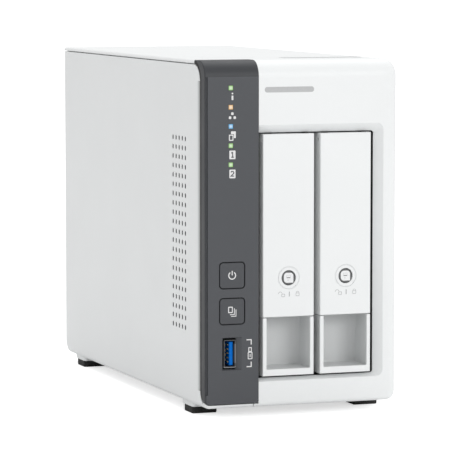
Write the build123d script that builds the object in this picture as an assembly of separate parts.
"""Two-bay desktop network attached storage, as separate named pieces.

Frame: millimetres, +X to the right seen from the front, +Y to the rear, +Z up.
The origin is the centre of the footprint, on the surface the feet stand on.
"""
import math
import os

from build123d import *

# ---- driving dimensions -------------------------------------------------
WIDTH, DEPTH, HEIGHT = 98.0, 226.0, 168.0
LEFT, RIGHT = -WIDTH / 2, WIDTH / 2
FRONT, REAR = -DEPTH / 2, DEPTH / 2
BASE, TOP = 4.9, HEIGHT           # underside of the case, top of the case
WALL = 2.3                        # plastic wall of the case
R_FRONT_TOP = 8.0                 # roll from the front face into the top
R_RIGHT = 6.0                     # right-hand edges, front and top
R_REAR_BOTTOM = 6.5
R_FRONT_BOTTOM = 2.0
SILL_TOP = 12.4                   # rear lip of the floor

COVER_IN = LEFT + WALL            # inner face of the left cover
COVER_FRONT = FRONT + 7.0         # front edge of the left cover
COVER_TOP = 165.9
COVER_FLOOR_EDGE = -25.0          # where the cover's floor flange ends
SEAM = 0.45                       # visible gap between case pieces

STRIP_RIGHT = -22.25              # right edge of the grey front strip
STRIP_LOW = 6.9
STRIP_BACK = -98.3                # rear edge of the strip on the top
STRIP_T = 2.0

VENT_Y0, VENT_PITCH_Y, VENT_COLS = -85.2, 4.5, 5
VENT_Z0, VENT_PITCH_Z, VENT_ROWS = 40.5, 4.49, 21
VENT_R, VENT_HALF_SLOT = 0.85, 0.35

# tray opening: outer rim of the bevel, inner rim of the bevel
RIM_TOP, RIM_RIGHT, RIM_LOW = 137.7, 40.8, 16.8
BAY_TOP, BAY_RIGHT, BAY_LOW = 134.0, 36.9, 18.2
BEVEL_DEPTH = 3.5
COLLAR_BACK = -106.3              # rear of the frame round the tray opening

TRAY_X0, TRAY_W, TRAY_PITCH = -20.1, 25.7, 28.85
TRAY_LOW, TRAY_TOP = 19.2, 133.4
SEAM_Z = 46.7                     # top of the grip box, just under the handle
GRIP_DEPTH = 16.0
HANDLE_PIVOT = (-109.6, 130.4)    # y, z
HANDLE_LOW = SEAM_Z + 0.4
HANDLE_BACK = -105.0
LOCK_X, LOCK_Z = 12.95, 65.5      # from the tray's left edge; height

DRIVE_T, DRIVE_L, DRIVE_H = 26.1, 147.0, 101.6
DRIVE_Y0 = -94.0
DRIVE_Z0 = 25.5
DRIVE_SCREW_Y = (DRIVE_Y0 + DRIVE_L - 130.1, DRIVE_Y0 + DRIVE_L - 28.5)

LED_X = -36.15
LED_Z = {"status_led_lens": 155.3, "lan_led_lens": 146.35, "copy_led_lens": 137.4,
         "drive_1_led_lens": 128.4, "drive_2_led_lens": 119.5}
LED_SIDE = 2.1
BUTTON_X = (-41.55, -29.45)
BUTTON_Z = {"power_button": (61.65, 73.55), "copy_button": (44.75, 56.65)}
BUTTON_GAP = 0.45
USB_X, USB_Z = (-39.45, -33.55), (24.1, 37.2)

FRONT_BOARD_Y = (-96.0, -94.4)
MAIN_X = (-26.6, -25.0)           # mainboard faces, standing beside the cage
FAN_X, FAN_Z, FAN_SIDE, FAN_T = 11.0, 100.0, 70.0, 15.0
FAN_HOLE = 30.0                   # half of the fan's hole pitch
PANEL_Y = (110.5, REAR)           # rear panel thickness span
RESET_X, RESET_Z = -33.5, 92.0
JACK_Z = {"network_jack_1": 46.0, "network_jack_2": 66.0}
SCREW_R = 1.5
FEET = {"foot_front_left": (-47.9, -92.0), "foot_front_right": (34.6, -92.0),
        "foot_rear_left": (-47.9, 81.7), "foot_rear_right": (34.6, 81.7)}
FOOT_SIDE, FOOT_H = 12.5, 3.3

CASE_SCREWS_COVER = [(-43.4, 98.0), (-43.4, 150.0)]          # x, z on the rear panel
CASE_SCREWS_SHELL = [(43.2, 24.0), (43.2, 150.0), (-2.0, 161.6)]
CAGE_FLOOR_SCREWS = [(41.0, -92.0), (41.0, 44.0)]            # x, y
CAGE_FRONT_SCREWS = [(-26.3, 31.0), (-26.3, 96.0)]           # x, z
MAIN_SCREWS = [(-50.0, 22.0), (-50.0, 119.0), (50.0, 22.0), (50.0, 119.0)]   # y, z
BACKPLANE_SCREWS = [(-19.6, 28.0), (-19.6, 124.0), (33.9, 28.0), (33.9, 124.0)]  # x, z
FRONT_BOARD_SCREWS = [(-42.5, 137.0), (-42.5, 84.0), (-36.5, 16.6)]          # x, z


# ---- helpers ------------------------------------------------------------
def block(x, y, z):
    """Box from three (low, high) spans."""
    spans = (x, y, z)
    size = [hi - lo for lo, hi in spans]
    mid = [(hi + lo) / 2 for lo, hi in spans]
    return Pos(*mid) * Box(*size)


def soft_block(x, y, z, axis, radius):
    """Box whose edges along one axis are rounded."""
    solid = block(x, y, z)
    return fillet(solid.edges().filter_by(axis), radius)


def rod(axis, at, span, radius):
    """Cylinder along an axis; at holds the two other coordinates in x, y, z order."""
    length = span[1] - span[0]
    mid = (span[0] + span[1]) / 2
    if axis == "x":
        return Pos(mid, at[0], at[1]) * Rot(0, 90, 0) * Cylinder(radius, length)
    if axis == "y":
        return Pos(at[0], mid, at[1]) * Rot(90, 0, 0) * Cylinder(radius, length)
    return Pos(at[0], at[1], mid) * Cylinder(radius, length)


def edge_near(solid, point):
    """The edge whose middle lies closest to a point."""
    target = Vector(*point)
    return min(solid.edges(), key=lambda e: (e.position_at(0.5) - target).length)


def joined(*pieces):
    """One solid out of touching pieces."""
    total = pieces[0]
    for piece in pieces[1:]:
        total = total + piece
    return total


def group(pieces):
    """Separate identical solids kept in one file."""
    solids = [s for piece in pieces for s in piece.solids()]
    return Compound(children=solids)


def screw(axis, at, seat, sign, length, head_r, head_h, countersunk=False):
    """Screw whose head sits on the plane `seat`, its shank running along sign * axis."""
    tip = seat + sign * length
    shank = rod(axis, at, tuple(sorted((seat, tip))), SCREW_R - 0.05)
    top = seat - sign * head_h
    if countersunk:
        top = seat
        low = seat + sign * head_h
        head = cone(axis, at, seat, low, head_r, SCREW_R - 0.05)
        return head + shank - cross_slot(axis, at, top, sign)
    head = rod(axis, at, tuple(sorted((seat, top))), head_r)
    head = fillet(edge_ring(head, axis, top), head_h * 0.4)
    return head + shank - cross_slot(axis, at, top, sign)


def edge_ring(solid, axis, value):
    """Edges of a solid that lie in the plane axis = value."""
    pick = {"x": Axis.X, "y": Axis.Y, "z": Axis.Z}[axis]
    return solid.edges().filter_by_position(pick, value - 0.01, value + 0.01)


def cone(axis, at, start, end, r_start, r_end):
    """Truncated cone between two planes along an axis."""
    turn = {"x": Rot(0, 90, 0), "y": Rot(-90, 0, 0), "z": Rot(0, 0, 0)}[axis]
    low, high = (r_start, r_end) if start < end else (r_end, r_start)
    mid = (start + end) / 2
    place = {"x": (mid, at[0], at[1]) if axis == "x" else None,
             "y": (at[0], mid, at[1]) if axis == "y" else None,
             "z": (at[0], at[1], mid) if axis == "z" else None}[axis]
    return Pos(*place) * turn * Cone(low, high, abs(end - start))


def cross_slot(axis, at, face, sign):
    """Cross recess cut 0.9 into a screw head from its face."""
    deep = tuple(sorted((face - sign * 0.1, face + sign * 0.9)))
    wide, thin = 1.5, 0.3
    if axis == "y":
        one = block((at[0] - wide, at[0] + wide), deep, (at[1] - thin, at[1] + thin))
        two = block((at[0] - thin, at[0] + thin), deep, (at[1] - wide, at[1] + wide))
    elif axis == "x":
        one = block(deep, (at[0] - wide, at[0] + wide), (at[1] - thin, at[1] + thin))
        two = block(deep, (at[0] - thin, at[0] + thin), (at[1] - wide, at[1] + wide))
    else:
        one = block((at[0] - wide, at[0] + wide), (at[1] - thin, at[1] + thin), deep)
        two = block((at[0] - thin, at[0] + thin), (at[1] - wide, at[1] + wide), deep)
    return one + two


# ---- case ---------------------------------------------------------------
def case_form(inset, left_radius, rear=REAR, left_base_radius=0.0):
    """Solid outer form of the case, moved inwards by inset everywhere but the rear."""
    form = block((LEFT + inset, RIGHT - inset), (FRONT + inset, rear), (BASE + inset, TOP - inset))
    form = fillet(edge_near(form, (0, FRONT + inset, TOP - inset)), R_FRONT_TOP - inset)
    if inset < 0.5:
        form = fillet(edge_near(form, (0, rear, BASE)), R_REAR_BOTTOM)
    right_chain = [edge_near(form, (RIGHT - inset, 0, TOP - inset)),
                   edge_near(form, (RIGHT - inset, FRONT + inset, 80)),
                   edge_near(form, (RIGHT - inset, 0, BASE + inset))]
    right_chain.append(edge_near(form, (RIGHT - inset, FRONT + 2.4, TOP - 2.4)))
    form = fillet(right_chain, R_RIGHT - inset)
    if left_base_radius > 0:
        form = fillet(edge_near(form, (LEFT, 0, BASE)), left_base_radius)
    if inset < 0.5:
        form = fillet(edge_near(form, (0, FRONT, BASE)), R_FRONT_BOTTOM)
    if left_radius > 0:
        left_chain = [edge_near(form, (LEFT + inset, 0, TOP - inset)),
                      edge_near(form, (LEFT + inset, FRONT + inset, 80)),
                      edge_near(form, (LEFT + inset, FRONT + 2.4, TOP - 2.4))]
        form = fillet(left_chain, left_radius)
    return form


def cavity():
    """Space inside the case walls, open to the rear above the sill."""
    inner = case_form(WALL, 0, REAR + 5)
    sill = block((LEFT, RIGHT), (107.5, REAR + 6), (0, SILL_TOP))
    return inner - sill


def cover_profile(gap, x):
    """Side outline of the left cover over an X span, grown at the front by gap."""
    front = COVER_FRONT - gap
    top = COVER_TOP + gap
    corner = 8.0
    turn = math.sqrt(0.5) * corner
    start = (REAR + 1, top)
    edges = [
        Line((0, *start), (0, front + corner, top)),
        ThreePointArc((0, front + corner, top), (0, front + corner - turn, top - corner + turn),
                      (0, front, top - corner)),
        Line((0, front, top - corner), (0, front, 12.4)),
        ThreePointArc((0, front, 12.4), (0, front - 1.9, 8.6 + gap * 0.6), (0, FRONT - 1, 6.7 + gap)),
        Line((0, FRONT - 1, 6.7 + gap), (0, FRONT - 1, 0)),
        Line((0, FRONT - 1, 0), (0, REAR + 1, 0)),
        Line((0, REAR + 1, 0), (0, *start)),
    ]
    face = make_face(edges)
    return Pos(x[0], 0, 0) * extrude(face, amount=x[1] - x[0], dir=(1, 0, 0))


def vents(x):
    """Field of short upright slots through a side wall."""
    cuts = []
    for col in range(VENT_COLS):
        for row in range(VENT_ROWS):
            y = VENT_Y0 + col * VENT_PITCH_Y
            z = VENT_Z0 + row * VENT_PITCH_Z
            cuts.append((y, z))
    profile = SlotCenterToCenter(2 * VENT_HALF_SLOT, 2 * VENT_R, rotation=90)
    plane = Plane(origin=(x[0], 0, 0), x_dir=(0, 1, 0), z_dir=(1, 0, 0))
    sketch = plane * (Sketch() + [Pos(y, z) * profile for y, z in cuts])
    return extrude(sketch, amount=x[1] - x[0], dir=(1, 0, 0))


def foot_boss(name):
    """Low plinth of the floor above one foot, and the hole for the foot's peg."""
    x, y = FEET[name]
    pad = soft_block((x, x + FOOT_SIDE), (y - 0.5, y + FOOT_SIDE + 3.0), (FOOT_H, BASE + 0.5), Axis.Z, 1.5)
    hole = rod("z", (x + FOOT_SIDE / 2, y + FOOT_SIDE / 2), (0, 20), 2.0)
    return pad, hole


def bay_opening():
    """Tray opening: bevelled mouth, then straight through the front frame."""
    def outline(y, right, low, top, radius):
        corners = [(STRIP_RIGHT, low), (right, low), (right, top), (STRIP_RIGHT, top)]
        wire = Polyline([(cx, y, cz) for cx, cz in corners], close=True)
        face = make_face(wire)
        rounded = [v for v in face.vertices() if v.X > 0]
        return fillet(rounded, radius)

    mouth = outline(FRONT, RIM_RIGHT, RIM_LOW, RIM_TOP, 3.0)
    throat = outline(FRONT + BEVEL_DEPTH, BAY_RIGHT, BAY_LOW, BAY_TOP, 1.2)
    bevel = loft([mouth, throat])
    straight = extrude(throat, amount=12, dir=(0, 1, 0))
    lead = extrude(mouth, amount=3, dir=(0, -1, 0))
    return bevel + straight + lead


def main_shell():
    """Front frame, top, right wall and right part of the floor."""
    form = case_form(0, 1.8)
    shell = form - cavity()
    # the left cover and the grey strip take these regions
    shell -= cover_profile(SEAM, (LEFT - 1, COVER_IN + 0.05))
    shell -= block((LEFT - 1, COVER_FLOOR_EDGE + SEAM), (FRONT - 1, REAR + 1), (0, 30))
    shell -= block((LEFT - 1, STRIP_RIGHT), (FRONT - 1, STRIP_BACK + SEAM), (STRIP_LOW - SEAM, TOP + 1))
    shell -= block((LEFT - 1, COVER_IN + 0.05), (FRONT - 1, STRIP_BACK + SEAM), (0, TOP + 1))
    # backing frame behind the strip, joined to the top plate and to the bezel
    back = block((-46.2, STRIP_RIGHT), (FRONT + STRIP_T, FRONT + 4), (9.0, TOP - 4))
    ledge = block((-46.2, STRIP_RIGHT), (FRONT + STRIP_T, STRIP_BACK + 2.5), (TOP - 4, TOP - STRIP_T))
    riser = block((-46.2, STRIP_RIGHT), (STRIP_BACK + SEAM, STRIP_BACK + 2.5), (TOP - 4, TOP - 0.5))
    inner_form = case_form(STRIP_T, 0)
    behind = (back + ledge) & inner_form
    jamb = block((STRIP_RIGHT - 1.6, STRIP_RIGHT), (FRONT + STRIP_T, -107.8), (9.0, TOP - 4))
    key = block((STRIP_RIGHT - 0.1, STRIP_RIGHT + 2.0), (FRONT + 2.3, -108.8), (140.0, TOP - 4))
    floor_key = block((STRIP_RIGHT - 1.6, STRIP_RIGHT + 1.0), (FRONT + STRIP_T, -107.8), (BASE + 1, 12.0))
    shell = joined(shell, behind, riser, (jamb + key) & inner_form, floor_key)
    shell -= block((-43.2, -28.0), (FRONT, -108), (42.6, 75.6))
    shell -= block((-41.0, -32.0), (FRONT, -108), (22.2, 39.2))
    shell -= block((-38.6, -33.7), (FRONT, -108), (117.0, 158.0))
    collar = block((STRIP_RIGHT, RIM_RIGHT + 1.6), (FRONT + 1.5, COLLAR_BACK), (RIM_LOW - 1.6, RIM_TOP + 1.6))
    collar += block((BAY_RIGHT - 1, BAY_RIGHT + 1.5), (FRONT + 3, -104.0), (BAY_LOW + 2, BAY_TOP - 2))
    shell = joined(shell, collar & inner_form)
    shell -= bay_opening()
    shell -= vents((RIGHT - 4, RIGHT + 1))
    # shallow oblong recess in the top
    recess = soft_block((-1.5, 41.0), (-90.0, -80.0), (TOP - 0.8, TOP + 1), Axis.Z, 4.9)
    shell -= recess
    # feet
    for name in ("foot_front_right", "foot_rear_right"):
        pad, hole = foot_boss(name)
        shell = shell + pad - hole
    # screw bosses
    for x, z in CASE_SCREWS_SHELL:
        shell += rod("y", (x, z), (98.0, PANEL_Y[0]), 3.0)
        if x > 0:
            shell += block((x, RIGHT - 1), (98.0, PANEL_Y[0]), (z - 1, z + 1))
        else:
            shell += block((x - 1, x + 1), (98.0, PANEL_Y[0]), (z, TOP - 1))
        shell -= rod("y", (x, z), (100.0, PANEL_Y[0] + 1), SCREW_R)
    for x, y in CAGE_FLOOR_SCREWS:
        shell += rod("z", (x, y), (BASE + 1, 17.2), 3.4)
        shell -= rod("z", (x, y), (9.0, 18.0), SCREW_R)
    for x, z in CAGE_FRONT_SCREWS:
        shell += rod("y", (x, z), (-109.5, -107.6), 3.0)
        shell -= rod("y", (x, z), (-110.6, -107.0), SCREW_R)
    for x, z in FRONT_BOARD_SCREWS:
        shell += rod("y", (x, z), (-109.5, FRONT_BOARD_Y[0]), 2.8)
        shell -= rod("y", (x, z), (-104.0, FRONT_BOARD_Y[0] + 1), SCREW_R)
    return shell


def strip_outline(gap, y):
    """Front outline of the grey strip with its rounded lower corners, grown by gap."""
    low = STRIP_LOW - gap
    prism = block((LEFT - gap, STRIP_RIGHT + gap), y, (low, TOP + 5))
    left_edge = edge_near(prism, (LEFT - gap, sum(y) / 2, low))
    prism = fillet(left_edge, 2.4 + gap)
    right_edge = edge_near(prism, (STRIP_RIGHT + gap, sum(y) / 2, low))
    return fillet(right_edge, 1.3 + gap)


def left_cover():
    """Left wall with the vent field, its floor flange and rear sill."""
    form = case_form(0, 0.0, left_base_radius=2.5)
    side = form & cover_profile(0, (LEFT, COVER_IN))
    floor_part = form & block((LEFT, COVER_FLOOR_EDGE), (FRONT, REAR), (0, BASE + WALL))
    rim = form & block((LEFT, COVER_FLOOR_EDGE), (FRONT, FRONT + 2.5), (0, STRIP_LOW + 2.0))
    rim -= strip_outline(0.35, (FRONT - 1, FRONT + 4))
    sill = form & block((LEFT, COVER_FLOOR_EDGE), (107.5, REAR), (0, SILL_TOP))
    gutter = block((LEFT, COVER_FLOOR_EDGE), (FRONT - 1, FRONT + STRIP_T + 1.8), (STRIP_LOW - 0.35, 60))
    cover = joined(side, floor_part - gutter, rim, sill)
    cover -= vents((LEFT - 1, LEFT + 4))
    for name in ("foot_front_left", "foot_rear_left"):
        pad, hole = foot_boss(name)
        cover = cover + pad - hole
    for x, z in CASE_SCREWS_COVER:
        cover += rod("y", (x, z), (98.0, PANEL_Y[0]), 2.8)
        cover += block((COVER_IN - 0.5, x), (98.0, PANEL_Y[0]), (z - 1, z + 1))
        cover -= rod("y", (x, z), (100.0, PANEL_Y[0] + 1), SCREW_R)
    for y in (-70.0, 0.0, 70.0):
        cover += block((COVER_IN - 0.5, COVER_IN + 1.4), (y - 8, y + 8), (150.0, TOP - WALL - 0.3))
    return cover


def front_strip():
    """Grey insert: front plate, roll over the top edge, return round the left corner."""
    skin = case_form(0, 0.5) - case_form(STRIP_T, 0)
    front = block((LEFT, STRIP_RIGHT - 0.02), (FRONT, STRIP_BACK), (STRIP_LOW, TOP))
    strip = skin & front & strip_outline(0, (FRONT - 1, REAR))
    strip -= block((LEFT - 1, COVER_IN + 0.1), (COVER_FRONT - SEAM, REAR), (0, TOP - 9))
    strip -= cover_profile(0.35, (LEFT - 1, COVER_IN + 0.1))
    strip -= block((LEFT - 1, STRIP_RIGHT + 1), (FRONT + STRIP_T, STRIP_BACK - 0.0), (0, 12.5)) & block(
        (COVER_IN + 0.1, STRIP_RIGHT + 1), (FRONT - 1, REAR), (0, 12.5))
    # light slit down the front left corner
    strip -= block((-48.45, -47.6), (FRONT - 1, FRONT + 0.8), (11.5, 160.3))
    strip -= block((LEFT - 1, -48.45), (FRONT - 1, FRONT + 0.4), (11.5, 160.3))
    for z in LED_Z.values():
        half = LED_SIDE / 2 + 0.05
        strip -= block((LED_X - half, LED_X + half), (FRONT - 1, FRONT + 4), (z - half, z + half))
    for low, high in BUTTON_Z.values():
        strip -= soft_block((BUTTON_X[0] - BUTTON_GAP, BUTTON_X[1] + BUTTON_GAP), (FRONT - 1, FRONT + 4),
                            (low - BUTTON_GAP, high + BUTTON_GAP), Axis.Y, 1.95)
    # port mouth: straight hole with a scooped side towards the right
    strip -= soft_block((-39.8, -33.2), (FRONT - 1, FRONT + 4), (23.4, 37.9), Axis.Y, 0.6)
    scoop = loft([
        Plane(origin=(-35.6, FRONT - 0.01, 30.65), x_dir=(1, 0, 0), z_dir=(0, -1, 0)) * Rectangle(9.8, 15.5),
        Plane(origin=(-36.5, FRONT + 1.3, 30.65), x_dir=(1, 0, 0), z_dir=(0, -1, 0)) * Rectangle(6.8, 14.6),
    ])
    strip -= scoop
    return strip


def rear_panel():
    """Rear wall: fan guard, port openings, reset hole and security slot."""
    y0, y1 = PANEL_Y
    panel = block((COVER_IN + 0.2, RIGHT - WALL - 0.2), (y0, y1), (SILL_TOP + 0.2, TOP - WALL - 0.2))
    right_top = edge_near(panel, (RIGHT - WALL - 0.2, (y0 + y1) / 2, TOP - WALL - 0.2))
    panel = fillet(right_top, R_RIGHT - WALL)
    # fan guard: ring slots broken by six spokes
    guard = None
    for radius in (7.0, 12.0, 17.0, 22.0, 27.0):
        ring = rod("y", (FAN_X, FAN_Z), (y0 - 1, y1 + 1), radius + 3.4)
        ring -= rod("y", (FAN_X, FAN_Z), (y0 - 2, y1 + 2), radius)
        guard = ring if guard is None else guard + ring
    for turn in (0, 60, 120):
        spoke = Box(70, 10, 2.2)
        guard -= Pos(FAN_X, (y0 + y1) / 2, FAN_Z) * Rot(0, turn, 0) * spoke
    panel -= guard
    for dx in (-FAN_HOLE, FAN_HOLE):
        for dz in (-FAN_HOLE, FAN_HOLE):
            at = (FAN_X + dx, FAN_Z + dz)
            panel -= rod("y", at, (y0 - 1, y1 + 1), 1.8)
            panel -= cone("y", at, y1, y1 - 1.8, 3.1, 1.8)
    for x, z in CASE_SCREWS_COVER + CASE_SCREWS_SHELL:
        panel -= rod("y", (x, z), (y0 - 1, y1 + 1), 1.8)
        panel -= cone("y", (x, z), y1, y1 - 1.8, 3.1, 1.8)
    through = (y0 - 1, y1 + 1)
    for z in JACK_Z.values():
        panel -= block((-40.4, MAIN_X[0] + 0.3), through, (z - 0.3, z + 16.5))
    panel -= block((-42.6, MAIN_X[0] + 0.3), through, (26.7, 41.8))
    panel -= rod("y", (-32.1, 19.0), through, 4.0)
    panel -= rod("y", (RESET_X, RESET_Z), through, 1.9)
    panel -= soft_block((-37.5, -34.5), through, (123.0, 130.0), Axis.Y, 1.0)
    # stiffening ribs on the inside
    panel += block((-20.0, -18.5), (y0 - 2.0, y0), (16.0, 58.0))
    panel += block((-15.0, 38.0), (y0 - 2.0, y0), (50.0, 51.5))
    return panel


def foot(name):
    x, y = FEET[name]
    pad = soft_block((x, x + FOOT_SIDE), (y, y + FOOT_SIDE), (0, FOOT_H), Axis.Z, 1.2)
    pad = fillet(edge_ring(pad, "z", 0), 0.5)
    peg = rod("z", (x + FOOT_SIDE / 2, y + FOOT_SIDE / 2), (FOOT_H - 0.2, 8.5), 1.95)
    return pad + peg


# ---- front controls -----------------------------------------------------
def led_lens(z):
    """Square light guide from the front face back to its LED."""
    half = LED_SIDE / 2
    guide = block((LED_X - half, LED_X + half), (FRONT + 0.05, -97.2), (z - half, z + half))
    flange = block((LED_X - half - 0.7, LED_X + half + 0.7), (FRONT + STRIP_T, FRONT + STRIP_T + 0.8),
                   (z - half - 0.7, z + half + 0.7))
    return guide + flange


def push_button(span):
    """Button cap with a retaining rim and a stem that works a switch."""
    low, high = span
    cap = soft_block(BUTTON_X, (FRONT, FRONT + 2.6), span, Axis.Y, 1.5)
    cap = fillet(edge_ring(cap, "y", FRONT), 0.3)
    rim = soft_block((BUTTON_X[0] - 0.9, BUTTON_X[1] + 0.9), (FRONT + 2.15, FRONT + 3.0),
                     (low - 0.7, high + 0.7), Axis.Y, 2.0)
    stem = rod("y", (sum(BUTTON_X) / 2, (low + high) / 2), (FRONT + 2.9, -99.2), 1.5)
    return cap + rim + stem


def tact_switches():
    """Switch housings behind the two front buttons and the reset button."""
    made = []
    for low, high in BUTTON_Z.values():
        x, z = sum(BUTTON_X) / 2, (low + high) / 2
        body = soft_block((x - 3, x + 3), (-99.7, FRONT_BOARD_Y[0]), (z - 3, z + 3), Axis.Y, 0.5)
        made.append(body - rod("y", (x, z), (-101, -98.0), 1.85))
    body = block((MAIN_X[0] - 9.4, MAIN_X[0]), (96.0, 101.0), (RESET_Z - 3, RESET_Z + 3))
    made.append(body - rod("y", (RESET_X, RESET_Z), (99.0, 102), 1.5))
    return group(made)


def front_board():
    board = block((-45.4, -29.9), FRONT_BOARD_Y, (12.6, 161.5))
    for x, z in FRONT_BOARD_SCREWS:
        board -= rod("y", (x, z), (-98, -92), 1.6)
    return board


def front_leds():
    chips = []
    for z in LED_Z.values():
        chips.append(block((LED_X - 0.8, LED_X + 0.8), (-96.9, FRONT_BOARD_Y[0]), (z - 0.6, z + 0.6)))
    return group(chips)


def front_usb_shell():
    """Bent metal shell of the front port, open to the front."""
    shell = soft_block(USB_X, (FRONT + 0.5, FRONT_BOARD_Y[0]), USB_Z, Axis.Y, 0.5)
    wall = 0.35
    inner = block((USB_X[0] + wall, USB_X[1] - wall), (FRONT - 1, -97.5), (USB_Z[0] + wall, USB_Z[1] - wall))
    shell -= inner
    for z in (27.6, 33.7):
        for x in USB_X:
            shell -= block((x - 0.6, x + 0.6), (FRONT + 4, FRONT + 10), (z - 0.9, z + 0.9))
    return shell


def front_usb_tongue():
    tongue = block((-36.5, -34.65), (FRONT + 1.5, -97.5), (25.1, 36.2))
    return fillet(edge_ring(tongue, "y", FRONT + 1.5), 0.35)


def front_usb_contacts():
    """Four long contacts and five short ones in front of them, on the tongue's left face."""
    face = -36.5
    pins = []
    for dz in (-3.5, -1.0, 1.0, 3.5):
        pins.append(block((face - 0.2, face), (-106.5, -98.0), (30.65 + dz - 0.5, 30.65 + dz + 0.5)))
    for dz in (-4.0, -2.0, 0.0, 2.0, 4.0):
        pins.append(block((face - 0.15, face), (-110.2, -108.2), (30.65 + dz - 0.3, 30.65 + dz + 0.3)))
    return group(pins)


def reset_button():
    """Small recessed button on the rear, with a collar that keeps it in."""
    pin = rod("y", (RESET_X, RESET_Z), (100.4, REAR - 0.8), 1.15)
    head = rod("y", (RESET_X, RESET_Z), (108.0, REAR - 0.8), 1.55)
    collar = rod("y", (RESET_X, RESET_Z), (108.6, PANEL_Y[0] - 0.05), 2.6)
    return pin + head + collar


# ---- drive cage, backplane and boards ------------------------------------
def drive_cage():
    """Sheet-steel box around the bays with guide ribs, tabs and rear flanges."""
    x0, x1 = STRIP_RIGHT, 36.6
    y0, y1 = -106.0, 58.0
    z0, z1 = 17.2, 135.2
    t = 1.0
    cage = block((x0, x1), (y0, y1), (z0, z1))
    cage -= block((x0 + t, x1 - t), (y0 - 1, y1 + 1), (z0 + t, z1 - t))
    for y in (-80.0, -30.0, 20.0):
        cage -= soft_block((x0 - 1, x1 + 1), (y, y + 30), (40.0, 112.0), Axis.X, 4)
    for y in (-70.0, -10.0):
        for x in (-16.0, 12.0):
            window = soft_block((x, x + 18), (y, y + 44), (z0 - 1, z1 + 1), Axis.Z, 4)
            cage -= window
    # rib between the bays, below and above
    cage += block((6.4, 8.0), (y0 + 2, y1), (z0 + t, 22.0))
    cage += block((6.4, 8.0), (y0 + 2, y1), (131.0, z1 - t))
    # rear flanges that carry the backplane
    cage += block((x0 + t, -18.0), (y1 - t, y1), (z0 + t, z1 - t))
    cage += block((32.0, x1 - t), (y1 - t, y1), (z0 + t, z1 - t))
    # front tabs to the front frame and floor tabs to the case floor
    for x, z in CAGE_FRONT_SCREWS:
        cage += block((x - 3.5, x0 + t), (-107.6, -106.6), (z - 5, z + 5))
        cage += block((x0, x0 + t), (-107.6, y0 + 1), (z - 5, z + 5))
    for x, y in CAGE_FLOOR_SCREWS:
        cage += block((x1 - t, x + 4), (y - 6, y + 6), (z0, z0 + t))
        cage -= rod("z", (x, y), (z0 - 1, z0 + t + 1), 1.7)
    # standoffs for the mainboard
    for y, z in MAIN_SCREWS:
        cage += rod("x", (y, z), (MAIN_X[1], x0 + 0.5), 3.0)
        cage -= rod("x", (y, z), (MAIN_X[1] - 1, x0 + t - 0.2), SCREW_R)
    for x, z in CAGE_FRONT_SCREWS:
        cage -= rod("y", (x, z), (-109, -106), 1.7)
    for x, z in BACKPLANE_SCREWS:
        cage -= rod("y", (x, z), (y1 - 2, y1 + 1), SCREW_R)
    # clearance for the connector between the two boards and for a drive socket
    cage -= block((x0 - 1, -17.5), (53.5, y1 + 1), (58.5, 96.5))
    cage -= block((-18.8, -17.5), (y1 - 2, y1 + 1), (30.5, 75.0))
    return cage


def backplane_board():
    board = block((-21.0, 35.4), (58.0, 59.6), (20.0, 132.0))
    board += block((-23.3, -20.5), (58.0, 59.6), (62.0, 93.0))
    for x in (-10.0, 14.0):
        board -= soft_block((x, x + 15), (57, 61), (78.0, 126.0), Axis.Y, 3)
    for x, z in BACKPLANE_SCREWS:
        board -= rod("y", (x, z), (57, 61), 1.6)
    return board


def drive_x(index):
    """Left face of a drive."""
    return TRAY_X0 + index * TRAY_PITCH + (TRAY_W - DRIVE_T) / 2


def sata_sockets():
    """Receptacles on the backplane that reach into the drives' connectors."""
    made = []
    for index in (0, 1):
        x = drive_x(index) + 4.0
        body = block((x - 1.95, x + 1.95), (46.8, 58.0), (31.6, 73.4))
        body -= block((x - 0.95, x + 0.95), (46.0, 53.4), (32.6, 72.4))
        made.append(body)
    return group(made)


def board_connector():
    body = block((MAIN_X[1], -21.2), (55.6, 62.0), (60.0, 95.0))
    return body - block((-23.6, -20.0), (57.9, 59.7), (61.6, 93.4))


def mainboard():
    board = block(MAIN_X, (-58.0, 109.6), (12.8, 128.0))
    for y, z in MAIN_SCREWS:
        board -= rod("x", (y, z), (-30, -20), 1.6)
    board -= soft_block((-30, -20), (60.0, 92.0), (112.0, 140.0), Axis.X, 2)
    return board


def processor():
    die = block((MAIN_X[0] - 1.4, MAIN_X[0]), (-6.0, 22.0), (66.0, 94.0))
    return die


def heatsink():
    """Finned aluminium block clamped on the processor."""
    x1 = MAIN_X[0] - 1.4
    sink = block((x1 - 3.0, x1), (-12.0, 28.0), (60.0, 100.0))
    fin_t, count = 1.2, 11
    for i in range(count):
        y = -12.0 + i * (40.0 - fin_t) / (count - 1)
        sink += block((x1 - 12.0, x1 - 2.9), (y, y + fin_t), (60.0, 100.0))
    return sink


def memory_module():
    """Memory board lying parallel to the mainboard in a low socket."""
    x = MAIN_X[0]
    socket = block((x - 5.2, x), (-50.0, 20.0), (26.0, 31.5))
    module = block((x - 3.4, x - 2.2), (-48.8, 18.8), (31.0, 56.0))
    made = socket + module
    for i in range(4):
        y = -44.0 + i * 16.0
        made += block((x - 4.6, x - 3.3), (y, y + 11.0), (36.0, 51.0))
    for y in (-51.5, 19.0):
        made += block((x - 4.0, x), (y, y + 2.5), (26.0, 58.0))
    return made


def capacitors():
    cans = []
    for y, z in ((40.0, 106.0), (51.0, 106.0), (62.0, 103.5), (-48.0, 70.0), (-48.0, 82.0)):
        can = rod("x", (y, z), (MAIN_X[0] - 11.5, MAIN_X[0]), 4.0)
        cans.append(fillet(edge_ring(can, "x", MAIN_X[0] - 11.5), 0.6))
    return group(cans)


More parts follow.
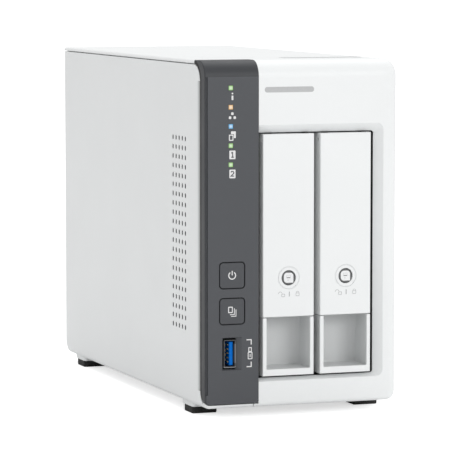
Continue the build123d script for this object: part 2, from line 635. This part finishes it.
def coin_cell():
    """Coin cell; its clip is part of the board."""
    cell = rod("x", (-28.0, 112.0), (MAIN_X[0] - 4.0, MAIN_X[0] - 0.8), 10.0)
    tray = rod("x", (-28.0, 112.0), (MAIN_X[0] - 0.8, MAIN_X[0]), 11.0)
    return cell + tray


def network_jack(z):
    """Shielded network jack lying on its side, open to the rear."""
    x0, x1 = -40.1, MAIN_X[0]
    jack = block((x0, x1), (91.0, 112.6), (z, z + 16.2))
    jack -= block((x0 + 2.0, x0 + 10.3), (97.0, 114), (z + 2.2, z + 14.0))
    jack -= block((x0 + 10.0, x0 + 12.2), (97.0, 114), (z + 5.0, z + 11.2))
    return jack


def rear_usb_shell():
    """Double shell: two ports side by side, open to the rear."""
    x0, x1 = -42.3, MAIN_X[0]
    shell = block((x0, x1), (95.0, 112.6), (27.0, 41.5))
    for x in (x0 + 0.9, x0 + 8.9):
        shell -= block((x, x + 5.2), (97.0, 114), (28.0, 40.5))
    return shell


def rear_usb_tongues():
    made = []
    for x in (-42.3 + 0.9, -42.3 + 8.9):
        made.append(block((x + 0.7, x + 2.5), (97.0, 111.4), (28.7, 39.8)))
    return group(made)


def dc_jack():
    """Power inlet: square body, round mouth and centre pin."""
    x0, x1 = -36.6, MAIN_X[0]
    body = block((x0, x1), (98.0, PANEL_Y[0] - 0.1), (14.0, 24.0))
    body += rod("y", (-32.1, 19.0), (PANEL_Y[0] - 0.2, 112.6), 3.9)
    body -= rod("y", (-32.1, 19.0), (102.0, 114.0), 2.9)
    return body + rod("y", (-32.1, 19.0), (101.5, 111.4), 1.0)


# ---- fan ------------------------------------------------------------------
def fan_frame():
    half = FAN_SIDE / 2
    y0, y1 = PANEL_Y[0] - FAN_T, PANEL_Y[0]
    frame = soft_block((FAN_X - half, FAN_X + half), (y0, y1), (FAN_Z - half, FAN_Z + half), Axis.Y, 4)
    frame -= rod("y", (FAN_X, FAN_Z), (y0 - 1, y1 + 1), 33.0)
    for dx in (-FAN_HOLE, FAN_HOLE):
        for dz in (-FAN_HOLE, FAN_HOLE):
            frame -= rod("y", (FAN_X + dx, FAN_Z + dz), (y0 - 1, y1 + 1), 1.6)
    # hub plate on four arms, with the bearing tube and stator
    frame += rod("y", (FAN_X, FAN_Z), (y0, y0 + 2), 15.5)
    for turn in (20, 110):
        arm = Box(67.0, 2.0, 3.5)
        frame += Pos(FAN_X, y0 + 1, FAN_Z) * Rot(0, turn, 0) * arm
    frame += rod("y", (FAN_X, FAN_Z), (y0 + 1, y0 + 9), 11.0)
    frame -= rod("y", (FAN_X, FAN_Z), (y0 + 0.6, y0 + 10), 1.55)
    return frame


def fan_rotor():
    """Hub cup with its shaft and seven pitched blades."""
    y0 = PANEL_Y[0] - FAN_T
    cup = rod("y", (FAN_X, FAN_Z), (y0 + 3.2, y0 + 13.4), 15.0)
    cup = fillet(edge_ring(cup, "y", y0 + 13.4), 1.2)
    cup -= rod("y", (FAN_X, FAN_Z), (y0 + 3, y0 + 11.4), 13.2)
    cup += rod("y", (FAN_X, FAN_Z), (y0 + 1.6, y0 + 12), 1.5)
    keep = rod("y", (FAN_X, FAN_Z), (y0 + 3.4, y0 + 13.2), 31.7)
    keep -= rod("y", (FAN_X, FAN_Z), (y0, y0 + 15), 14.4)
    blades = 7
    for i in range(blades):
        blade = Pos(23.0, 0, 0) * Rot(38, 0, 0) * Box(19.0, 20.0, 1.3)
        blade = Pos(FAN_X, y0 + 8.3, FAN_Z) * Rot(0, i * 360 / blades, 0) * blade
        cup += blade & keep
    return cup


def fan_cable():
    """Fan lead over the top edge of the mainboard to its header."""
    y = 86.0
    route = [(-20.0, 95.5, 131.5), (-20.0, y, 131.5), (-30.0, y, 131.5), (-30.0, y, 121.0)]
    path = FilletPolyline(*route, radius=4.2)
    start = Plane(origin=route[0], z_dir=(0, -1, 0))
    tube = sweep(start * Circle(1.1), path=path)
    plug = block((-33.0, -27.0), (y - 4.5, y + 4.5), (113.4, 121.2))
    return tube + plug


def front_cable():
    """Lead from the front board back to the mainboard's front edge."""
    route = [(-36.0, -94.4, 96.0), (-36.0, -76.0, 96.0), (-29.6, -66.0, 92.0), (-29.6, -50.0, 92.0)]
    path = FilletPolyline(*route, radius=9.0)
    start = Plane(origin=route[0], z_dir=(0, 1, 0))
    tube = sweep(start * Circle(1.6), path=path)
    plug = block((-31.8, MAIN_X[0]), (-50.4, -44.0), (88.0, 96.0))
    return tube + plug


# ---- trays ----------------------------------------------------------------
def tray_body(index):
    """Grip box, wall behind the handle, and the two rails that hold the drive."""
    x0 = TRAY_X0 + index * TRAY_PITCH
    x1 = x0 + TRAY_W
    back = FRONT + GRIP_DEPTH
    grip = block((x0, x1), (FRONT, back + 1.6), (TRAY_LOW, SEAM_Z))
    grip = fillet(edge_ring(grip, "y", FRONT), 0.4)
    grip += block((x0, x1), (-104.4, back + 1.6), (SEAM_Z - 1, 52.0))
    hollow = block((x0 + 1.85, x1 - 1.85), (FRONT - 5, back), (22.35, 60))
    deep = hollow.edges().filter_by(Axis.Z).filter_by_position(Axis.Y, back - 0.1, back + 0.1)
    hollow = fillet(deep, 3.0)
    low_edges = hollow.edges().filter_by_position(Axis.Z, 22.3, 22.4).filter_by_position(
        Axis.Y, back - 4, back + 1)
    hollow = fillet(low_edges, 0.5)
    hollow &= block((x0, x1), (FRONT - 6, REAR), (0, 50.4))
    body = grip - hollow
    wall = block((x0, x1), (-103.0, -101.0), (50.4, TRAY_TOP - 0.4))
    body = joined(body, wall)
    for z in (82.0, 90.0, 98.0, 106.0, 114.0):
        body -= soft_block((x0 + 5, x1 - 5), (-104, -100), (z, z + 4), Axis.Y, 1.9)
    # hinge lugs
    py, pz = HANDLE_PIVOT
    for lx in (x0 + 2.0, x1 - 5.0):
        lug = block((lx, lx + 3.0), (py, -102.0), (pz - 1.6, pz + 1.6))
        body += lug + rod("x", (py, pz), (lx, lx + 3.0), 1.6)
    body -= rod("x", (py, pz), (x0, x1), 0.85)
    # rails: channels open away from the drive
    low_face, high_face = DRIVE_Z0 - 0.05, DRIVE_Z0 + DRIVE_H + 0.05
    y_end = 50.0
    for face, inner, edge, start in ((low_face, low_face - 2, 19.8, back + 0.5),
                                     (high_face, high_face + 2, TRAY_TOP - 0.6, -102.0)):
        body += block((x0, x1), (start, y_end), tuple(sorted((face, inner))))
        for a, b in ((x0, x0 + 1.6), (x1 - 1.6, x1)):
            body += block((a, b), (start, y_end), tuple(sorted((face, edge))))
    for y in DRIVE_SCREW_Y:
        body -= rod("z", (tray_screw_x(index), y), (15, 30), 1.7)
        body -= rod("z", (tray_screw_x(index), y), (122, 140), 1.7)
    return body


def tray_screw_x(index):
    """Line of the drive's side holes, measured from its board side."""
    return drive_x(index) + 6.35


def tray_handle(index):
    """Upper panel of the tray: a shell on side walls, hinged near its top edge."""
    x0 = TRAY_X0 + index * TRAY_PITCH
    x1 = x0 + TRAY_W
    outer = block((x0, x1), (FRONT, HANDLE_BACK), (HANDLE_LOW, TRAY_TOP))
    outer = fillet(edge_ring(outer, "y", FRONT), 0.45)
    inner = block((x0 + 1.6, x1 - 1.6), (FRONT + 1.4, HANDLE_BACK + 1), (HANDLE_LOW - 1, TRAY_TOP - 1.3))
    # the top wall stops short, and is notched over the lugs so that they clear it as the panel swings
    inner += block((x0 + 1.6, x1 - 1.6), (-108.4, HANDLE_BACK + 1), (TRAY_TOP - 5, TRAY_TOP + 1))
    for nx in (x0 + 1.6, x1 - 5.4):
        inner += block((nx, nx + 3.8), (FRONT + 2.4, -108), (TRAY_TOP - 5, TRAY_TOP + 1))
    handle = outer - inner
    handle += block((x0 + 1, x1 - 1), (FRONT + 1, FRONT + 3.2), (HANDLE_LOW + 0.1, HANDLE_LOW + 1.8))
    # boss for the lock, with a faint ring round it on the face
    at = (x0 + LOCK_X, LOCK_Z)
    handle += rod("y", at, (FRONT + 1, -106.4), 5.4)
    handle -= rod("y", at, (FRONT - 1, -106.0), 3.6)
    ring = rod("y", at, (FRONT - 1, FRONT + 0.2), 5.4) - rod("y", at, (FRONT - 2, FRONT + 1), 5.1)
    handle -= ring
    handle -= rod("x", HANDLE_PIVOT, (x0 - 1, x1 + 1), 0.85)
    return handle


def tray_lock(index):
    """Lock cylinder: square-ended key core, barrel and cam."""
    x0 = TRAY_X0 + index * TRAY_PITCH
    x, z = x0 + LOCK_X, LOCK_Z
    core = block((x - 2.4, x + 2.4), (FRONT + 0.2, FRONT + 2.2), (z - 2.4, z + 2.4))
    round_edges = [e for e in core.edges().filter_by(Axis.Y)
                   if not (e.center().X > x and e.center().Z < z)]
    core = fillet(round_edges, 1.6)
    barrel = rod("y", (x, z), (FRONT + 0.6, -105.5), 3.28)
    cam = soft_block((x - 2.4, x + 7.0), (-105.9, -104.7), (z - 2.4, z + 2.4), Axis.Y, 1.8)
    mark = block((x - 0.9, x + 0.9), (FRONT, FRONT + 0.5), (z - 0.25, z + 0.25))
    return core + barrel + cam - mark


def hinge_pin(index):
    x0 = TRAY_X0 + index * TRAY_PITCH
    return rod("x", HANDLE_PIVOT, (x0 + 0.3, x0 + TRAY_W - 0.3), 0.8)


def drive_casting(index):
    """Cast base of a 3.5-inch drive with side screw holes and a pocket for its board."""
    x0 = drive_x(index)
    y, z = (DRIVE_Y0, DRIVE_Y0 + DRIVE_L), (DRIVE_Z0, DRIVE_Z0 + DRIVE_H)
    body = soft_block((x0, x0 + DRIVE_T - 1.0), y, z, Axis.X, 3.0)
    body -= block((x0 - 1, x0 + 2.6), (y[0] + 38.0, y[1] + 1), (z[0] + 3.0, z[1] - 3.0))
    # opening at the rear for the connector
    body -= block((x0 - 1, x0 + 7.4), (44.6, y[1] + 1), (30.2, 74.8))
    for sy in DRIVE_SCREW_Y:
        body -= rod("z", (tray_screw_x(index), sy), (z[0] - 1, z[0] + 5), SCREW_R)
        body -= rod("z", (tray_screw_x(index), sy), (z[1] - 5, z[1] + 1), SCREW_R)
    return body


def drive_lid(index):
    """Pressed steel lid with its raised centre."""
    x1 = drive_x(index) + DRIVE_T
    lid = soft_block((x1 - 1.0, x1 - 0.4), (DRIVE_Y0 + 1.5, 44.0), (DRIVE_Z0 + 1.5, DRIVE_Z0 + DRIVE_H - 1.5),
                     Axis.X, 6.0)
    dome = soft_block((x1 - 0.5, x1), (DRIVE_Y0 + 10, 34.0), (DRIVE_Z0 + 8, DRIVE_Z0 + DRIVE_H - 8), Axis.X, 14.0)
    return lid + dome


def drive_board(index):
    """Controller board with the combined data and power connector."""
    x0 = drive_x(index)
    board = block((x0 + 0.7, x0 + 2.0), (DRIVE_Y0 + 40.0, 52.0), (DRIVE_Z0 + 4.5, DRIVE_Z0 + DRIVE_H - 4.5))
    board -= rod("x", (-20.0, 76.3), (x0 - 1, x0 + 3), 14.0)
    plug = block((x0 + 1.0, x0 + 7.0), (45.0, 53.0), (30.6, 74.4))
    plug -= block((x0 + 1.6, x0 + 6.4), (46.2, 54.0), (31.2, 73.8))
    blade = block((x0 + 3.5, x0 + 4.5), (45.5, 52.4), (33.2, 71.8))
    return board + plug + blade


def drive_screws(index):
    """Four screws that hold a drive between the rails."""
    made = []
    x = tray_screw_x(index)
    for y in DRIVE_SCREW_Y:
        made.append(screw("z", (x, y), DRIVE_Z0 - 2.05, 1, 5.5, 2.9, 1.6))
        made.append(screw("z", (x, y), DRIVE_Z0 + DRIVE_H + 2.05, -1, 5.5, 2.9, 1.6))
    return group(made)


# ---- screws ---------------------------------------------------------------
def case_screws():
    seats = CASE_SCREWS_COVER + CASE_SCREWS_SHELL
    return group([screw("y", at, REAR, -1, 10.0, 3.0, 1.7, countersunk=True) for at in seats])


def inner_screws():
    """Pan-head screws of the cage and the three boards."""
    made = [screw("z", at, 18.2, -1, 7.0, 2.8, 1.8) for at in CAGE_FLOOR_SCREWS]
    made += [screw("y", at, -106.6, -1, 4.0, 2.8, 1.8) for at in CAGE_FRONT_SCREWS]
    made += [screw("x", at, MAIN_X[0], 1, 4.6, 2.8, 1.8) for at in MAIN_SCREWS]
    made += [screw("y", at, 59.6, -1, 2.6, 2.8, 1.8) for at in BACKPLANE_SCREWS]
    made += [screw("y", at, FRONT_BOARD_Y[1], -1, 7.0, 2.8, 1.8) for at in FRONT_BOARD_SCREWS]
    return group(made)


def fan_screws():
    made = []
    for dx in (-FAN_HOLE, FAN_HOLE):
        for dz in (-FAN_HOLE, FAN_HOLE):
            made.append(screw("y", (FAN_X + dx, FAN_Z + dz), REAR, -1, 11.0, 3.0, 1.7, countersunk=True))
    return group(made)


def all_nodes():
    nodes = {
        "main_shell": main_shell, "left_cover": left_cover, "front_strip": front_strip,
        "rear_panel": rear_panel, "tact_switches": tact_switches, "front_board": front_board,
        "front_leds": front_leds, "front_usb_shell": front_usb_shell,
        "front_usb_tongue": front_usb_tongue, "front_usb_contacts": front_usb_contacts,
        "reset_button": reset_button, "drive_cage": drive_cage, "backplane_board": backplane_board,
        "sata_sockets": sata_sockets, "board_connector": board_connector, "mainboard": mainboard,
        "processor": processor, "heatsink": heatsink, "memory_module": memory_module,
        "capacitors": capacitors, "coin_cell": coin_cell, "rear_usb_shell": rear_usb_shell,
        "rear_usb_tongues": rear_usb_tongues, "dc_jack": dc_jack, "fan_frame": fan_frame,
        "fan_rotor": fan_rotor, "fan_cable": fan_cable, "front_cable": front_cable,
        "case_screws": case_screws, "inner_screws": inner_screws, "fan_screws": fan_screws,
    }
    made = {name: build() for name, build in nodes.items()}
    made.update({name: foot(name) for name in FEET})
    made.update({name: led_lens(z) for name, z in LED_Z.items()})
    made.update({name: push_button(span) for name, span in BUTTON_Z.items()})
    made.update({name: network_jack(z) for name, z in JACK_Z.items()})
    for index, bay in enumerate((1, 2)):
        made[f"tray_{bay}_body"] = tray_body(index)
        made[f"tray_{bay}_handle"] = tray_handle(index)
        made[f"tray_{bay}_lock"] = tray_lock(index)
        made[f"tray_{bay}_hinge_pin"] = hinge_pin(index)
        made[f"drive_{bay}_casting"] = drive_casting(index)
        made[f"drive_{bay}_lid"] = drive_lid(index)
        made[f"drive_{bay}_board"] = drive_board(index)
        made[f"drive_{bay}_screws"] = drive_screws(index)
    return made


os.makedirs("parts", exist_ok=True)
for node, shape in all_nodes().items():
    export_step(shape, os.path.join("parts", f"{node}.step"))
